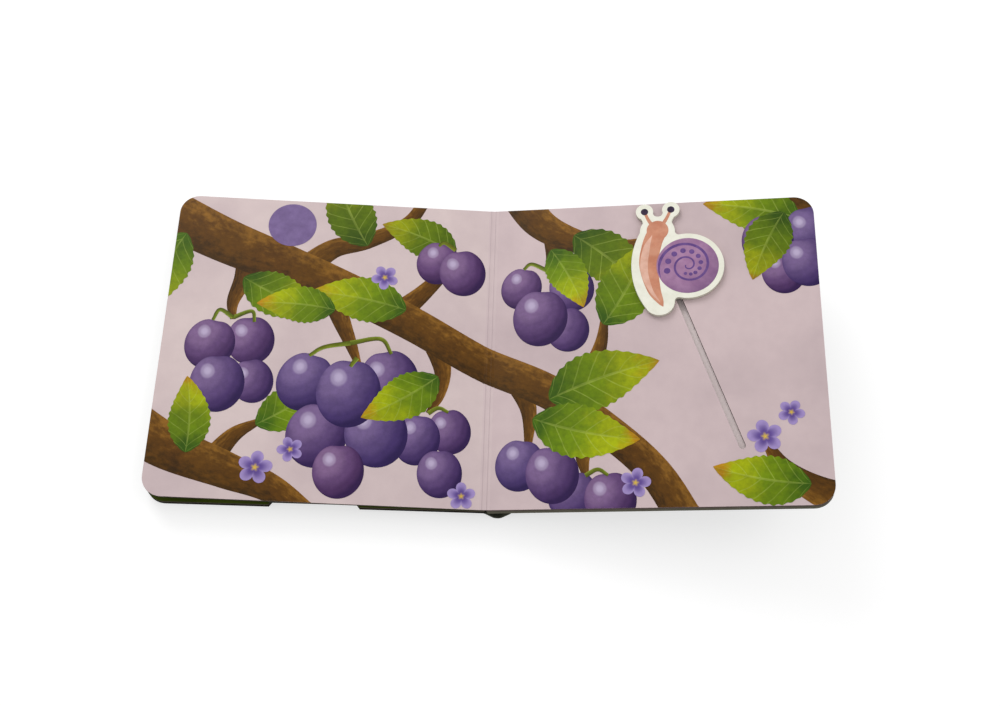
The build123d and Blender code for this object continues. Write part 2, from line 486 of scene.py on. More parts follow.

# Chipboard covers wrapped in matt laminated paper, plain olive grey outside. The back cover's inner side,
# seen down the slot, is lined with pink paper, painted paler than the page's ground: painted light against
# the shade at the bottom of the deep slot.
front_cover_board = board_material(
    "matt laminated cover, front", FRONT_HALF,
    [(-FRONT_UP, -NEAR, NEAR, COVER_OLIVE)],
    # The front cover's cut edges are painted near black: painted shadow, standing in for the contact shadow
    # along the book's low left edge.
    ("#15140C", "#0A0906"), level=0.03)
back_cover_board = board_material(
    "matt laminated cover, back", BACK_HALF,
    [(-BACK_UP, COVER_BACK - NEAR, COVER_BACK + NEAR, COVER_OLIVE),
     # Painted light: the lining's pink is paler than the page's ground, so that the shaded slot floor reads
     # lighter.
     (BACK_UP, COVER_LINING - NEAR, COVER_LINING + NEAR, ("#FFF0EE", "#F8E6E5"))],
    ("#827E70", "#625F50"))


# Linen embossing has threads about 0.5 mm apart. They are drawn 1 mm apart, so that they show.
LINEN_THREAD = 1.0

# At a scale of 1 a wave texture repeats after this much of a metre.
WAVE_REPEAT = 2 * math.pi / 20


def linen_paper(name, pale, dark):
    """Matt laminated paper over card, embossed with a linen grain: a wave along the spine and one around it."""
    made, nodes = new_material(name)
    spot = put(nodes, "TexCoord", out="Object")
    threads = {"Vector": spot, "Scale": WAVE_REPEAT / (LINEN_THREAD / 1000), "Distortion": 0.8, "Detail": 1.0}
    across = put(nodes, "TexWave", threads, "Fac", wave_type="BANDS", bands_direction="Y")
    around = put(nodes, "TexWave", threads, "Fac", wave_type="BANDS", bands_direction="Z")
    grain = put(nodes, "Math", {0: across, 1: around}, operation="ADD")
    worn = put(nodes, "ValToRGB", {0: clouds(nodes, 9, detail=4)}, stops=((0.3, dark), (0.75, pale)))
    middle = put(nodes, "Math", {0: grain, 1: 0.5}, operation="MULTIPLY")
    shade = put(nodes, "ValToRGB", {0: middle}, stops=((0.1, grey(0.82)), (0.8, grey(1.06))))
    colour = put(nodes, "Mix", {0: 1.0, 6: worn, 7: shade}, 2, **TIMES)
    surface(nodes, colour, 0.62, grain, 0.05, 0.6)
    return made


def moulded_plastic(name, dark, pale):
    """Injection-moulded polypropylene: milky and slightly waxy, with a faint texture of 0.3 mm grit."""
    made, nodes = new_material(name)
    milky = put(nodes, "ValToRGB", {0: clouds(nodes, 4, detail=2)}, stops=((0.3, dark), (0.7, pale)))
    surface(nodes, milky, 0.45, clouds(nodes, 0.3, detail=1), 0.01, 0.4, {"IOR": 1.49})
    return made


def figure_card_material(name):
    """Die-cut solid white board, satin laminated: a cream face, faintly mottled, and a chalky cut edge."""
    made, nodes = new_material(name)
    face = put(nodes, "ValToRGB", {0: clouds(nodes, 5)}, stops=((0.3, "#E9E8D8"), (0.7, "#F1F0E2")))
    fibre = clouds(nodes, 3, stretch=(1, 1, 12), turn=BACK_TILT)
    edge = put(nodes, "ValToRGB", {0: fibre}, stops=((0.3, "#C9C5B4"), (0.7, "#DEDBCC")))
    colour = put(nodes, "Mix", {0: facing(nodes, BACK_UP, 0.8), 6: edge, 7: face}, 2, **OVER)
    laminated(nodes, colour, film_roughness(nodes, 0.36))
    return made


# The spine's wrap is darker than the covers, and uneven in soft patches.
spine_wrap = linen_paper("linen-embossed cover paper", "#4E5040", "#35372A")
slider_plastic = moulded_plastic("moulded polypropylene", "#E6E3DA", "#F4F2EC")
figure_card = figure_card_material("satin laminated white board")


# Inks of the print

# Patches of a brush's mottle are about this wide, in mm, over others five times as wide.
BRUSH = 2.2

# Each plum is lit along this direction of (u, v, out of the page), and its highlight lies at this (u, v).
PLUM_LIGHT = (-0.42, 0.44, 0.72)
HIGHLIGHT = (-0.36, 0.42, 0.0)

# A leaf has this many pairs of side veins. Each lies this many gaps nearer the tip at the leaf's edge.
VEINS = 7.0
VEIN_SLANT = 1.4

# A violet has this many fine rays round its eye.
RAYS = 25.0


def painted(nodes, colour, strength):
    """Brush mottle of a painted picture in print: 0.6 of a fine pattern and 0.4 of a broad one, as a tint."""
    fine = clouds(nodes, BRUSH, detail=5, rough=0.62)
    broad = clouds(nodes, 5 * BRUSH, detail=2)
    part = put(nodes, "Math", {0: fine, 1: 0.6}, operation="MULTIPLY")
    both = put(nodes, "Math", {0: broad, 1: 0.4, 2: part}, operation="MULTIPLY_ADD")
    tint = put(nodes, "ValToRGB", {0: both}, stops=((0.3, grey(1 - strength)), (0.7, grey(1 + strength))))
    return put(nodes, "Mix", {0: 1.0, 6: colour, 7: tint}, 2, **TIMES)


def plum_print(name):
    """Offset print of a round plum, lit as a ball: its light is the dot product of PLUM_LIGHT and the ball's
    normal, whose third part is the square root of 1 less u squared and v squared, plus a cloudy bloom."""
    made, nodes = new_material(name)
    uv = put(nodes, "UVMap", uv_map="pattern")
    tone = put(nodes, "Attribute", out="Fac", attribute_name="tone")
    square = put(nodes, "VectorMath", {0: uv, 1: uv}, "Value", operation="DOT_PRODUCT")
    left = put(nodes, "Math", {0: 1.0, 1: square}, operation="SUBTRACT", use_clamp=True)
    bulge = put(nodes, "Math", {0: left}, operation="SQRT")
    slant = put(nodes, "VectorMath", {0: uv, 1: (*PLUM_LIGHT[:2], 0.0)}, "Value", operation="DOT_PRODUCT")
    lit = put(nodes, "Math", {0: bulge, 1: PLUM_LIGHT[2], 2: slant}, operation="MULTIPLY_ADD")
    lit = put(nodes, "Math", {0: clouds(nodes, 9), 1: 0.22, 2: lit}, operation="MULTIPLY_ADD")
    cool = put(nodes, "ValToRGB", {0: lit},
               stops=((0.0, "#2A1A4E"), (0.34, "#402E64"), (0.68, "#574476"), (0.98, "#745F8E")))
    warm = put(nodes, "ValToRGB", {0: lit},
               stops=((0.0, "#311848"), (0.34, "#4A2C5A"), (0.68, "#634472"), (0.98, "#81628B")))
    skin = painted(nodes, put(nodes, "Mix", {0: tone, 6: cool, 7: warm}, 2, **OVER), 0.12)
    off = put(nodes, "VectorMath", {0: uv, 1: HIGHLIGHT}, operation="SUBTRACT")
    away = put(nodes, "VectorMath", {0: off, 1: off}, "Value", operation="DOT_PRODUCT")
    shine = put(nodes, "ValToRGB", {0: away}, stops=((0.0, grey(0.75)), (0.035, grey(0.4)), (0.09, grey(0.0))))
    colour = put(nodes, "Mix", {0: shine, 6: skin, 7: ink("#C9BBD8")}, 2, **OVER)
    laminated(nodes, colour, film_roughness(nodes))
    return made


def leaf_print(name):
    """Offset print of a leaf: deep green at the stalk to lime and a touch of amber at the tip. A pale vein runs
    where VEINS u less VEIN_SLANT times the size of v passes a half, and a midrib where v is near 0."""
    made, nodes = new_material(name)
    u, v = put(nodes, "SeparateXYZ", {0: put(nodes, "UVMap", uv_map="pattern")}, (0, 1))
    tone = put(nodes, "Attribute", out="Fac", attribute_name="tone")
    drift = put(nodes, "Math", {0: clouds(nodes, 8), 1: 0.5}, operation="SUBTRACT")
    along = put(nodes, "Math", {0: drift, 1: 0.45, 2: u}, operation="MULTIPLY_ADD")
    fresh = put(nodes, "ValToRGB", {0: along},
                stops=((0.0, "#3A6006"), (0.38, "#728E02"), (0.74, "#A9B602"), (1.0, "#C0860A")))
    deep = put(nodes, "ValToRGB", {0: along},
               stops=((0.0, "#334E04"), (0.45, "#586E02"), (0.85, "#8C9202"), (1.0, "#92700A")))
    blade = painted(nodes, put(nodes, "Mix", {0: tone, 6: fresh, 7: deep}, 2, **OVER), 0.18)
    side = put(nodes, "Math", {0: v}, operation="ABSOLUTE")
    row = put(nodes, "Math", {0: u, 1: VEINS}, operation="MULTIPLY")
    row = put(nodes, "Math", {0: side, 1: -VEIN_SLANT, 2: row}, operation="MULTIPLY_ADD")
    row = put(nodes, "Math", {0: row}, operation="FRACT")
    vein = put(nodes, "Math", {0: row, 1: 0.5, 2: 0.045}, operation="COMPARE")
    rib = put(nodes, "Math", {0: side, 1: 0.05}, operation="LESS_THAN")
    either = put(nodes, "Math", {0: vein, 1: rib}, operation="MAXIMUM")
    fade = put(nodes, "Math", {0: clouds(nodes, 6, detail=2), 1: 0.5, 2: -0.02},
               operation="MULTIPLY_ADD", use_clamp=True)
    line = put(nodes, "Math", {0: either, 1: fade}, operation="MULTIPLY")
    veined = put(nodes, "Mix", {0: line, 6: blade, 7: ink("#B9C860")}, 2, **OVER)
    above = put(nodes, "Math", {0: v, 1: 0.0}, operation="GREATER_THAN")
    shaded = put(nodes, "Math", {0: above, 1: 0.16}, operation="MULTIPLY")
    colour = put(nodes, "Mix", {0: shaded, 6: veined, 7: ink("#1F3A0A")}, 2, **OVER)
    laminated(nodes, colour, film_roughness(nodes))
    return made


def bough_print(name, dark, middle, pale):
    """Offset print of bark: long brush streaks along the branch, lit on its upper side and dark below. The
    light is 0.06 + 0.26 v + 0.85 of the streaks."""
    made, nodes = new_material(name)
    u, v = put(nodes, "SeparateXYZ", {0: put(nodes, "UVMap", uv_map="pattern")}, (0, 1))
    tone = put(nodes, "Attribute", out="Fac", attribute_name="tone")
    own = put(nodes, "CombineXYZ", {0: u, 1: v, 2: tone})
    long = put(nodes, "VectorMath", {0: own, 1: (0.05, 1.0, 7.0)}, operation="MULTIPLY")
    streak = put(nodes, "TexNoise", {"Vector": long, "Scale": 4.2, "Detail": 5.0, "Roughness": 0.6}, "Fac")
    round_light = put(nodes, "Math", {0: v, 1: 0.26, 2: 0.06}, operation="MULTIPLY_ADD")
    lit = put(nodes, "Math", {0: streak, 1: 0.85, 2: round_light}, operation="MULTIPLY_ADD")
    bark = put(nodes, "ValToRGB", {0: lit}, stops=((0.16, dark), (0.5, middle), (0.84, pale)))
    mossy = put(nodes, "Math", {0: clouds(nodes, 22, detail=2), 1: 0.35}, operation="MULTIPLY")
    colour = put(nodes, "Mix", {0: mossy, 6: bark, 7: ink("#6E4C06")}, 2, **OVER)
    laminated(nodes, painted(nodes, colour, 0.2), film_roughness(nodes))
    return made


def blossom_print(name, centre, middle, rim):
    """Offset print of a flower: pale at the petals' ends, deeper towards the eye. Fine rays fade out half way:
    a ray runs where the fraction of RAYS v is within 0.1 of a half."""
    made, nodes = new_material(name)
    u, v = put(nodes, "SeparateXYZ", {0: put(nodes, "UVMap", uv_map="pattern")}, (0, 1))
    petal = put(nodes, "ValToRGB", {0: u}, stops=((0.0, centre), (0.32, middle), (0.95, rim)))
    turn = put(nodes, "Math", {0: v, 1: RAYS}, operation="MULTIPLY")
    turn = put(nodes, "Math", {0: turn}, operation="FRACT")
    ray = put(nodes, "Math", {0: turn, 1: 0.5, 2: 0.1}, operation="COMPARE")
    fade = put(nodes, "Math", {0: 0.5, 1: u}, operation="SUBTRACT", use_clamp=True)
    line = put(nodes, "Math", {0: ray, 1: fade}, operation="MULTIPLY")
    colour = put(nodes, "Mix", {0: line, 6: petal, 7: ink("#3F2A70")}, 2, **OVER)
    laminated(nodes, painted(nodes, colour, 0.1), film_roughness(nodes))
    return made


def field_print(name, dark, pale, size, strength=0.1, shade=None):
    """Offset print of a plain field: two near tints in soft clouds of size mm. With a shade, the field is drawn
    as a low dome lit from the upper left: the shade's share is 0.16 (u - v) + 0.2 (u squared + v squared)."""
    made, nodes = new_material(name)
    colour = put(nodes, "ValToRGB", {0: clouds(nodes, size)}, stops=((0.3, dark), (0.7, pale)))
    colour = painted(nodes, colour, strength)
    if shade:
        uv = put(nodes, "UVMap", uv_map="pattern")
        square = put(nodes, "VectorMath", {0: uv, 1: uv}, "Value", operation="DOT_PRODUCT")
        slant = put(nodes, "VectorMath", {0: uv, 1: (0.16, -0.16, 0.0)}, "Value", operation="DOT_PRODUCT")
        share = put(nodes, "Math", {0: square, 1: 0.2, 2: slant}, operation="MULTIPLY_ADD", use_clamp=True)
        colour = put(nodes, "Mix", {0: share, 6: colour, 7: ink(shade)}, 2, **OVER)
    laminated(nodes, colour, film_roughness(nodes))
    return made


plum_ink = plum_print("offset print, plum")
leaf_ink = leaf_print("offset print, leaf")
bark_ink = bough_print("offset print, bark", "#2F1A02", "#583508", "#8E6120")
stalk_ink = bough_print("offset print, stalk", "#3C4A0C", "#5F7414", "#93A83A")
violet_ink = blossom_print("offset print, violet", "#E0BC3C", "#624C92", "#A08CC2")
disc_ink = field_print("offset print, violet field", "#735E8C", "#7E6998", 6.0)

shell_ink = field_print("offset print, snail shell", "#9A7096", "#AA82A4", 7.0, shade="#4E2F66")
spiral_ink = field_print("offset print, shell spiral", "#5F4280", "#6C4E8A", 3.0)
body_ink = field_print("offset print, snail body", "#C48064", "#D19478", 6.0, 0.06)
foot_ink = field_print("offset print, snail foot", "#D9A690", "#E4B8A4", 5.0, 0.05)
eye_ink = field_print("offset print, dark dot", "#2A1F33", "#3A2B45", 2.0)


# The picture: plum boughs that run across both pages, x from the fold and y from the middle of the page

# The main bough's piece over the fold takes the tone of the same draw as its pieces on the pages.
BOUGH_SEED = 3

MAIN_BOUGH = bough((-176, 74, 14), (-140, 57, 12.6), (-104, 43, 11.4), (-70, 29, 10.2), (-38, 13, 9.4),
                   (-6, -5, 9.2), (30, -22, 9.0), (60, -44, 8.4), (82, -66, 8.2), (98, -94, 8.6))
BOUGHS = [
    (1, MAIN_BOUGH),
    (0, bough((-126, 52, 7.0), (-128, 36, 5.0), (-132, 22, 3.2), (-131, 12, 1.4))),
    (0, bough((-84, 36, 7.0), (-78, 18, 5.0), (-71, 2, 3.2), (-66, -10, 1.6))),
    (0, bough((-30, 8, 6.4), (-24, -10, 4.4), (-25, -24, 2.8), (-30, -34, 1.3))),
    (0, bough((-98, 42, 7.4), (-84, 55, 5.6), (-66, 61, 4.6), (-46, 73, 3.6), (-36, 90, 3.0))),
    (0, bough((-50, 18, 6.6), (-36, 32, 4.6), (-25, 46, 3.0), (-22, 56, 0.8))),
    (0, bough((38, -28, 6.8), (50, -12, 5.0), (56, 4, 3.2), (58, 22, 1.4))),
    (0, bough((14, -16, 6.0), (20, -32, 4.0), (20, -52, 1.6))),
    (0, bough((52, -38, 6.0), (47, -54, 4.0), (48, -66, 1.6))),
    (1, bough((10, 96, 10.0), (24, 74, 8.6), (44, 62, 6.8), (64, 58, 4.4), (86, 63, 0.4))),
    (0, bough((31, 68, 5.4), (31, 54, 3.6), (28, 46, 1.5))),
    (1, bough((-176, -46, 12.4), (-154, -58, 11.2), (-126, -68, 9.2), (-102, -77, 7.0), (-78, -94, 5.0))),
    (0, bough((-134, -64, 6.0), (-124, -50, 4.0), (-112, -42, 1.6))),
    (1, bough((178, 65, 8.4), (160, 74, 7.0), (144, 82, 5.4), (128, 97, 4.0))),
    (1, bough((180, -84, 10.0), (158, -76, 7.4), (142, -64, 4.6), (133, -48, 1.6))),
]


def plums(place, first, *each):
    """A bunch of plums, each (across, up, width, height, turn), laid one over the next from layer first."""
    return [(first + at, plum((place[0] + across, place[1] + up), wide, tall, turn))
            for at, (across, up, wide, tall, turn) in enumerate(each)]


PLUMS = [
    *plums((-132, -8), 4, (11, 9, 24, 27, 8), (-9, 6, 25, 28, -10), (14, -13, 21, 24, 14),
           (-3, -15, 27, 31, 4)),
    *plums((-70, -28), 4, (-22, 8, 28, 32, -16), (20, 11, 29, 33, 14), (-14, -20, 30, 34, -6),
           (15, -18, 31, 35, 8), (0, 3, 32, 37, -2), (-2, -38, 25, 28, 2)),
    *plums((-28, -52), 4, (9, 9, 21, 24, 10), (-7, 4, 23, 27, -6), (5, -13, 22, 25, 3)),
    *plums((-20, 50), 4, (-9, 0, 22, 25, -12), (4, -5, 24, 27, 10)),
    *plums((28, 26), 4, (-13, 10, 21, 24, -12), (13, 9, 23, 26, 12), (11, -14, 22, 25, 8),
           (-3, -7, 28, 32, -3)),
    *plums((21, -60), 4, (-5, 0, 24, 27, -8), (11, -5, 26, 30, 6)),
    *plums((50, -78), 4, (-8, 2, 24, 26, -8), (10, 0, 25, 28, 6)),
    *plums((150, 54), 4, (13, 9, 25, 28, 12), (-9, 4, 26, 30, -8), (-2, -14, 22, 25, 2), (10, -9, 25, 28, 6)),
]
BACK_LEAVES = [
    (2, leaf((-160, 60), 52, 28, -112, 0.16)),
    (2, leaf((-66, 58), 48, 27, 118, -0.14)),
    (3, leaf((-44, 22), 50, 27, 168, 0.14)),
    (2, leaf((-20, 56), 42, 24, -205, 0.16)),
    (2, leaf((42, 66), 52, 30, -40, -0.16)),
    (3, leaf((57, 14), 54, 31, 60, 0.16)),
    (2, leaf((30, -26), 58, 33, 22, -0.12)),
    (2, leaf((158, 70), 50, 29, -196, 0.14)),
    (3, leaf((-114, -44), 44, 24, 34, 0.14)),
]
FRONT_LEAVES = [
    (12, leaf((-128, 36), 46, 26, -26, 0.14)),
    (13, leaf((-80, 20), 40, 22, -186, 0.16)),
    (12, leaf((-26, -14), 44, 25, -144, -0.14)),
    (13, leaf((22, -36), 54, 30, -16, 0.14)),
    (12, leaf((30, 58), 38, 22, -60, -0.14)),
    (12, leaf((150, 74), 42, 25, -118, 0.14)),
    (12, leaf((-146, -60), 40, 22, 92, 0.16)),
    (12, leaf((154, -72), 46, 26, 172, -0.16)),
]
STALKS = [
    (11, bough((-131, 13, 1.2), (-122, 17, 1.0), (-120, 11, 0.8))),
    (11, bough((-131, 13, 1.2), (-138, 17, 1.0), (-141, 11, 0.8))),
    (11, bough((-71, 2, 1.3), (-56, 5, 1.1), (-50, -3, 0.9))),
    (11, bough((-71, 2, 1.3), (-84, -1, 1.1), (-91, -6, 0.9))),
    (11, bough((-67, -6, 1.3), (-69, -9, 1.1), (-70, -11, 0.9))),
    (11, bough((-30, -34, 1.2), (-25, -31, 1.0), (-20, -33, 0.8))),
    (11, bough((-20, 58, 1.2), (-26, 62, 1.0), (-29, 60, 0.8))),
    (11, bough((28, 46, 1.2), (37, 50, 1.0), (40, 47, 0.8))),
    (11, bough((28, 46, 1.2), (20, 50, 1.0), (16, 47, 0.8))),
    (11, bough((48, -66, 1.2), (54, -63, 1.0), (59, -66, 0.8))),
]
BLOSSOMS = (((-112, -66), 17, 10), ((-96, -56), 13, 40), ((-12, -76), 14, 20), ((134, -48), 17, 30),
            ((147, -36), 13, 60), ((-56, 40), 14, 50), ((72, -70), 15, 5))
# A plain round field of the book's colour, where such a book tells what the spread is about.
FIELDS = [(14, disc((-106, 68), 25))]
VIOLETS = [(13, blossom(*each)) for each in BLOSSOMS]

for side, body in (("left", "front_half"), ("right", "back_half")):
    print_piece(f"bough_print_{side}", BOUGHS, side, bark_ink, body, BOUGH_SEED)
    print_piece(f"plum_print_{side}", PLUMS, side, plum_ink, body, 5)
    print_piece(f"leaf_print_{side}", BACK_LEAVES + FRONT_LEAVES, side, leaf_ink, body, 8)
    print_piece(f"stalk_print_{side}", STALKS, side, stalk_ink, body, 4)
    print_piece(f"violet_print_{side}", VIOLETS, side, violet_ink, body, 2)
print_piece("field_print_left", FIELDS, "left", disc_ink, "front_half")


# The figure's own print

SHELL_AT, SHELL_RADIUS = (100.2, 44.4), 15.7
HEAD = (85.4, 64.6)
FEELER_TIPS = ((79.0, 76.6), (92.6, 77.4))
FEELER_BOWS = ((81.2, 71.2), (89.8, 71.4))
SPIRAL_TURNS = 2.1
SPIRAL_STEPS = 150

# The shell has this many round spots, over this much of a turn.
SPOTS = 11
SPOTTED_TURNS = 0.92


def snail_spiral():
    """Path of the shell's spiral: the radius falls as a power of what is left of the angle, from the mouth
    inwards. The line grows from a thin point over its first sixteenth, then thins evenly."""
    t = np.linspace(0, 1, SPIRAL_STEPS)
    angle = math.radians(205) - 2 * np.pi * SPIRAL_TURNS * t
    radius = SHELL_RADIUS * (0.06 + 0.9 * (1 - t) ** 1.35)
    width = (0.3 + 0.5 * (1 - t)) * np.minimum(1, 0.15 + t / 0.06)
    return np.stack([SHELL_AT[0] + radius * np.cos(angle), SHELL_AT[1] + radius * np.sin(angle), width], 1)


def shell_spots():
    """Round spots half way between the spiral's first turn and its next, smaller towards their inner end."""
    path = snail_spiral()
    last = SPIRAL_STEPS - 1
    for at in range(SPOTS):
        t = (0.35 + at) / SPOTS * SPOTTED_TURNS / SPIRAL_TURNS
        outer = path[round(t * last), :2]
        inner = path[min(round((t + 1 / SPIRAL_TURNS) * last), last), :2]
        yield 7, disc(tuple((outer + inner) / 2), 3.3 - 1.7 * at / SPOTS)


SNAIL_BODY = [
    (2, bough((87.4, 21.6, 0.15), (86.0, 24.6, 1.7), (82.8, 32.0, 3.5), (80.6, 45.5, 4.8), (82.4, 57.0, 4.9),
              (85.4, 65.0, 4.8))),
    (3, disc((85.5, 65.4), 11.2)),
    *[(at, bough((*HEAD, 1.3), (*bow, 0.9), (*tip, 0.7)))
      for at, (bow, tip) in enumerate(zip(FEELER_BOWS, FEELER_TIPS))],
]
SNAIL_FOOT = [
    (5, bough((86.0, 24.0, 0.1), (81.2, 31.5, 1.1), (78.2, 43.0, 1.9), (79.6, 55.0, 1.7), (82.6, 62.6, 0.1))),
]
for name, shapes, material in (
    ("figure_body_print", SNAIL_BODY, body_ink),
    ("figure_foot_print", SNAIL_FOOT, foot_ink),
    ("figure_shell_print", [(6, disc(SHELL_AT, 2 * SHELL_RADIUS))], shell_ink),
    ("figure_spiral_print", [(8, ribbon(snail_spiral(), 5)), *shell_spots()], spiral_ink),
    ("figure_eye_print", [(4, disc(tip, 3.8)) for tip in FEELER_TIPS], eye_ink),
):
    print_piece(name, shapes, "figure", material, "slider")


# The printed sheet's fold in the gutter

# The sheet passes from one page to the other over this far each side of the fold, and there each page's own
# plane is followed no more than FOLD_REACH past the fold.
FOLD_EASE = 0.8
FOLD_REACH = 0.3

# Two pressed creases stand up as narrow bells. A painted shade line darkens the sheet just left of each.
CREASES = (-1.6, 0.7)
CREASE_HEIGHT = 0.10
CREASE_SPREAD = 0.3
CREASE_SHADE_LINES = (-1.9, 0.45)

# The sheet's face and under side, over the boards. The face comes down to its rim over SHEET_BORDER.
SHEET_RIM = 0.015
SHEET_RISE = 0.055
SHEET_BORDER = 0.5
SHEET_UNDER = 0.005
SHEET_ROWS = 34
FOLD_LANES = 21
FOLD_COLUMNS = np.linspace(FOLD_LEFT, FOLD_RIGHT, 61)


def eased(share):
    """Smooth step from 0 to 1: 3 times the square less twice the cube."""
    share = np.clip(share, 0, 1)
    return share * share * (3 - 2 * share)


def on_fold(x, y, lift):
    """The sheet over the hinge: it follows each page, eased across the fold, with two raised creases."""
    share = eased((x + FOLD_EASE) / (2 * FOLD_EASE))[..., None]
    left = on_left(np.minimum(x, FOLD_REACH), y, lift)
    right = on_right(np.maximum(x, -FOLD_REACH), y, lift)
    spot = (1 - share) * left + share * right
    for place in CREASES:
        spot[..., 2] += CREASE_HEIGHT * np.exp(-((x - place) / CREASE_SPREAD) ** 2) / 1000
    return spot


def sheet_top(x):
    """Height of the sheet's face over the boards: 0.07 mm, thinning to 0.015 mm at its two borders."""
    return SHEET_RIM + SHEET_RISE * eased(np.minimum(x - FOLD_LEFT, FOLD_RIGHT - x) / SHEET_BORDER)


def fold_sheet():
    """A closed strip of thin paper, from 3 mm left of the fold to 2 mm right of it. Its rim has its own
    corners, so that the shading of its faces stops at their edges."""
    half = PAGE / 2 - EDGE_INSET
    x, y = np.meshgrid(FOLD_COLUMNS, np.linspace(-half, half, SHEET_ROWS), indexing="ij")
    top = on_fold(x, y, sheet_top(x)).reshape(-1, 3)
    under = on_fold(x, y, np.full(x.shape, SHEET_UNDER)).reshape(-1, 3)
    rows, columns = x.shape
    faces = grid_faces(rows, columns)
    rim = np.r_[np.arange(columns), np.arange(1, rows) * columns + columns - 1,
                (rows - 1) * columns + np.arange(columns - 2, -1, -1), np.arange(rows - 2, 0, -1) * columns]
    at = np.arange(len(rim))
    along = np.roll(at, -1)
    wall = np.stack([at, along, along + len(rim), at + len(rim)], 1) + 2 * x.size
    every = np.vstack([faces, faces[:, ::-1] + x.size, wall[:, ::-1]])
    spots = np.vstack([top, under, top[rim], under[rim]])
    uvs = np.stack([x.ravel(), y.ravel()], 1)
    uvs = np.vstack([uvs, uvs, uvs[rim], uvs[rim]])
    return mesh_piece("gutter_paper", spots, uvs, np.zeros(len(spots)), every, fold_paper)


def bough_over_fold():
    """The main bough where it crosses the fold. Its two edges are read off the bough's own outline at each
    column."""
    x, y, run, _ = MAIN_BOUGH
    low = np.interp(FOLD_COLUMNS, x[:, 0], y[:, 0])[:, None]
    high = np.interp(FOLD_COLUMNS, x[:, -1], y[:, -1])[:, None]
    middle = BOUGH_LANES // 2
    along = np.interp(FOLD_COLUMNS, x[:, middle], run[:, middle])
    across = np.linspace(-1, 1, FOLD_LANES)
    up = low + (high - low) * (across + 1) / 2
    out = np.repeat(FOLD_COLUMNS[:, None], FOLD_LANES, 1)
    spots = on_fold(out, up, sheet_top(out) + LAYER).reshape(-1, 3)
    uvs = np.stack([np.repeat(along, FOLD_LANES), np.tile(across, len(along))], 1)
    tone = np.random.default_rng(BOUGH_SEED).uniform(0, 1, TONES)[0]
    tones = np.full(len(spots), tone)
    return mesh_piece("bough_print_fold", spots, uvs, tones, grid_faces(*out.shape), bark_ink)


def fold_paper_print(name):
    """The pages' own printed ground over the fold, with a painted shade line 0.5 mm wide beside each crease."""
    made, nodes = new_material(name)
    across = put(nodes, "SeparateXYZ", {0: put(nodes, "UVMap", uv_map="pattern")})
    colour = ground_print(nodes, "#D4C1C1", "#C6B3B5")
    for place in CREASE_SHADE_LINES:
        near = put(nodes, "Math", {0: across, 1: place}, operation="SUBTRACT")
        near = put(nodes, "Math", {0: near}, operation="ABSOLUTE")
        # Painted shade of the crease: the ground darkens towards #8B767C near each line.
        dark = put(nodes, "MapRange", {0: near, 1: 0.05, 2: 0.26, 3: 0.4, 4: 0.0})
        colour = put(nodes, "Mix", {0: dark, 6: colour, 7: ink("#8B767C")}, 2, **OVER)
    laminated(nodes, colour, film_roughness(nodes, 0.4))
    return made


fold_paper = fold_paper_print("laminated paper, folded")
START, END = (on_fold(*np.array([[[x]], [[0.0]], [[0.0]]]))[0, 0].tolist() for x in (FOLD_LEFT, FOLD_RIGHT))
for piece in (fold_sheet(), bough_over_fold()):
    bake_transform(piece)


# The cover's wrap where the front cover meets the spine

# Half the spine card's thickness, and how steeply its front slope falls, as the part's source has them.
SPINE_RADIUS = 0.5
SPINE_FALL = 55.0

# The wrap is this thick, lies this far off the card and stops this far inside its head and tail.
WRAP = 0.12
WRAP_GAP = 0.03
WRAP_INSET = 0.05
WRAP_ROWS = 23

# The section goes through this many points on each side of the crease, with this many steps between two.
WRAP_POINTS = 8
WRAP_STEPS = 6


def crease_paper():
    """Cover paper 0.12 mm thick that turns from the front cover's underside on to the spine's outer face.
    Its section runs straight under the cover, round the crease and straight down the spine."""
    fall = math.radians(SPINE_FALL)
    down = np.array([math.cos(fall), 0, -math.sin(fall)])
    out = np.array([-math.sin(fall), 0, -math.cos(fall)])
    under = COVER_EDGE + np.linspace(-4.5, -1.0, WRAP_POINTS)[:, None] * FRONT_ALONG - WRAP_GAP * FRONT_UP
    spine_face = SPINE_PIVOT + (SPINE_RADIUS + WRAP_GAP) * out
    beside = spine_face + np.linspace(0.2, 3.2, WRAP_POINTS)[:, None] * down
    path = smooth_path(np.vstack([under, beside])[:, [0, 2]], WRAP_STEPS)
    step = np.gradient(path, axis=0)
    normal = np.stack([step[:, 1], -step[:, 0]], 1) / np.linalg.norm(step, axis=1)[:, None]
    section = np.vstack([path, (path + WRAP * normal)[::-1]])
    half = PAGE / 2 - WRAP_INSET
    y = np.linspace(-half, half, WRAP_ROWS)
    count = len(section)
    across, high = (np.repeat(part, len(y)) for part in section.T)
    spots = np.stack([across, np.tile(y, count), high], 1)
    sides = grid_faces(count + 1, len(y)) % (count * len(y))
    at = np.arange(len(path) - 1)
    cap = np.stack([at, at + 1, count - 2 - at, count - 1 - at], 1) * len(y)
    faces = np.vstack([sides, cap[:, ::-1], cap + len(y) - 1])
    tones = np.zeros(len(spots))
    return mesh_piece("crease_paper", spots / 1000, spots[:, :2], tones, faces, spine_wrap), path


crease, crease_path = crease_paper()
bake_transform(crease)


# The CAD pieces take their materials

for node, material in {
    "front_cover": front_cover_board,
    "left_pages": left_page_print,
    "right_page": right_page_print,
    "slide_channel": channel_board,
    "back_cover": back_cover_board,
    "spine": spine_wrap,
    "slider_foot": slider_plastic,
    "snail_figure": figure_card,
}.items():
    slots = bpy.data.objects[node].data.materials
    slots.clear()
    slots.append(material)


# Floor, light and camera

FRAME_WIDTH = 1000
SENSOR_WIDTH = 36
FLOOR_SIZE = 8
FLOOR_DROP = 0.0002


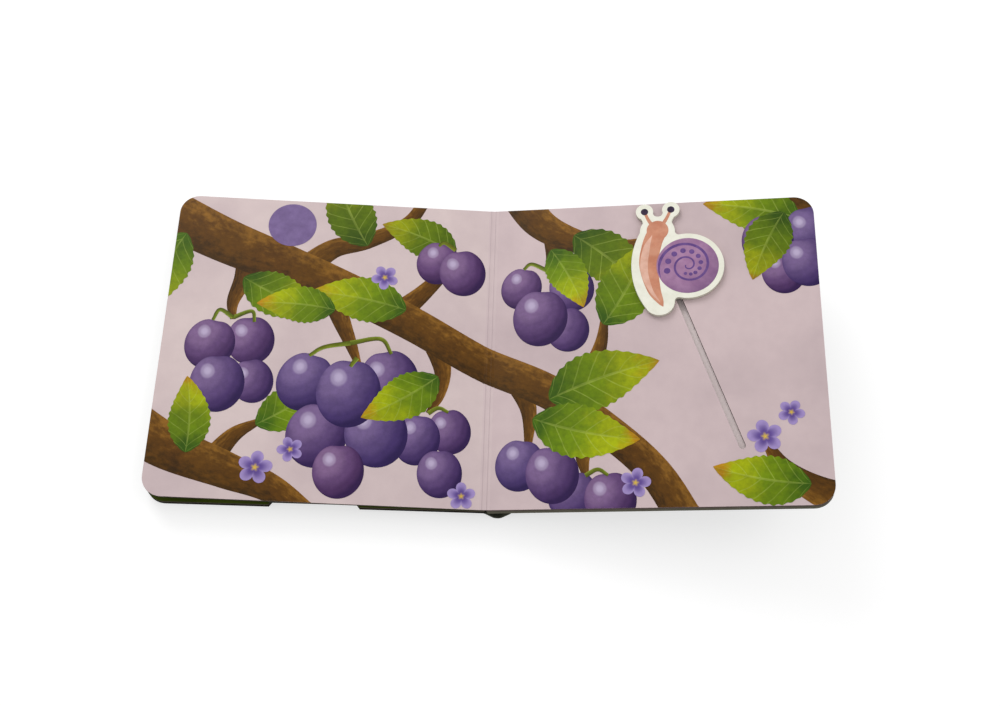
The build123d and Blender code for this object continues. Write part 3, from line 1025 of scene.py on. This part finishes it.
def plain_floor():
    """Grey studio table under the book. The camera sees it white, apart from the book's own soft shadow."""
    made, nodes = new_material("studio table")
    seen = put(nodes, "LightPath", out="Is Camera Ray")
    level = put(nodes, "MapRange", {0: seen, 1: 0.0, 2: 1.0, 3: 0.4, 4: 0.5})
    glow = put(nodes, "MapRange", {0: seen, 1: 0.0, 2: 1.0, 3: 0.0, 4: 0.62})
    colour = put(nodes, "CombineColor", {0: level, 1: level, 2: level})
    shader = put(nodes, "BsdfPrincipled", {
        "Base Color": colour, "Emission Color": grey(1.0), "Emission Strength": glow,
        "Roughness": 0.9, "Specular IOR Level": 0.0})
    put(nodes, "OutputMaterial", {0: shader}, ())
    bpy.ops.mesh.primitive_plane_add(size=FLOOR_SIZE, location=(0, 0, -FLOOR_DROP))
    floor = bpy.context.object
    floor.name = "studio_floor"
    floor.data.materials.append(made)


def white_world(strength):
    """White where the camera looks past everything, and an even soft light for the rest."""
    world = bpy.data.worlds.new("studio")
    bpy.context.scene.world = world
    world.use_nodes = True
    nodes = world.node_tree.nodes
    nodes.clear()
    seen = put(nodes, "LightPath", out="Is Camera Ray")
    level = put(nodes, "MapRange", {0: seen, 1: 0.0, 2: 1.0, 3: strength, 4: 1.0})
    put(nodes, "OutputWorld", {0: put(nodes, "Background", {0: grey(1.0), 1: level})}, ())


def soft_lamp(name, place, size, power):
    """Square soft box aimed at the middle of the book."""
    data = bpy.data.lights.new(name, "AREA")
    data.energy = power
    data.size = size
    lamp = bpy.data.objects.new(name, data)
    lamp.location = place
    lamp.rotation_euler = (-Vector(place)).to_track_quat("-Z", "Y").to_euler()
    bpy.context.scene.collection.objects.link(lamp)


def photo_camera(place, yaw, pitch, roll, focal):
    """Camera at place, turned by yaw about Z, tipped down by pitch, then rolled about its own axis, in degrees.
    focal is its focal length in pixels of the 1000 x 706 frame."""
    yaw, pitch, roll = (math.radians(a) for a in (yaw, pitch, roll))
    ahead = Vector((-math.sin(yaw) * math.cos(pitch), math.cos(yaw) * math.cos(pitch), -math.sin(pitch)))
    level = Vector((math.cos(yaw), math.sin(yaw), 0))
    upright = level.cross(ahead)
    right = math.cos(roll) * level + math.sin(roll) * upright
    up = math.cos(roll) * upright - math.sin(roll) * level
    data = bpy.data.cameras.new("camera")
    data.sensor_width = SENSOR_WIDTH
    data.lens = SENSOR_WIDTH * focal / FRAME_WIDTH
    data.clip_start = 0.01
    data.clip_end = 20
    camera = bpy.data.objects.new("camera", data)
    turn = Matrix((right, up, -ahead)).transposed().to_4x4()
    camera.matrix_world = Matrix.Translation(place) @ turn
    bpy.context.scene.collection.objects.link(camera)
    bpy.context.scene.camera = camera


plain_floor()
white_world(0.62)
soft_lamp("key", (-0.6, 1.0, 0.8), size=0.8, power=9)
soft_lamp("fill", (0.9, 0.2, 1.2), size=0.8, power=3)
photo_camera((-0.0249, -0.2637, 0.6119), yaw=-6.66, pitch=66.06, roll=8.98, focal=1292.2)
bpy.context.scene.view_settings.view_transform = "Standard"
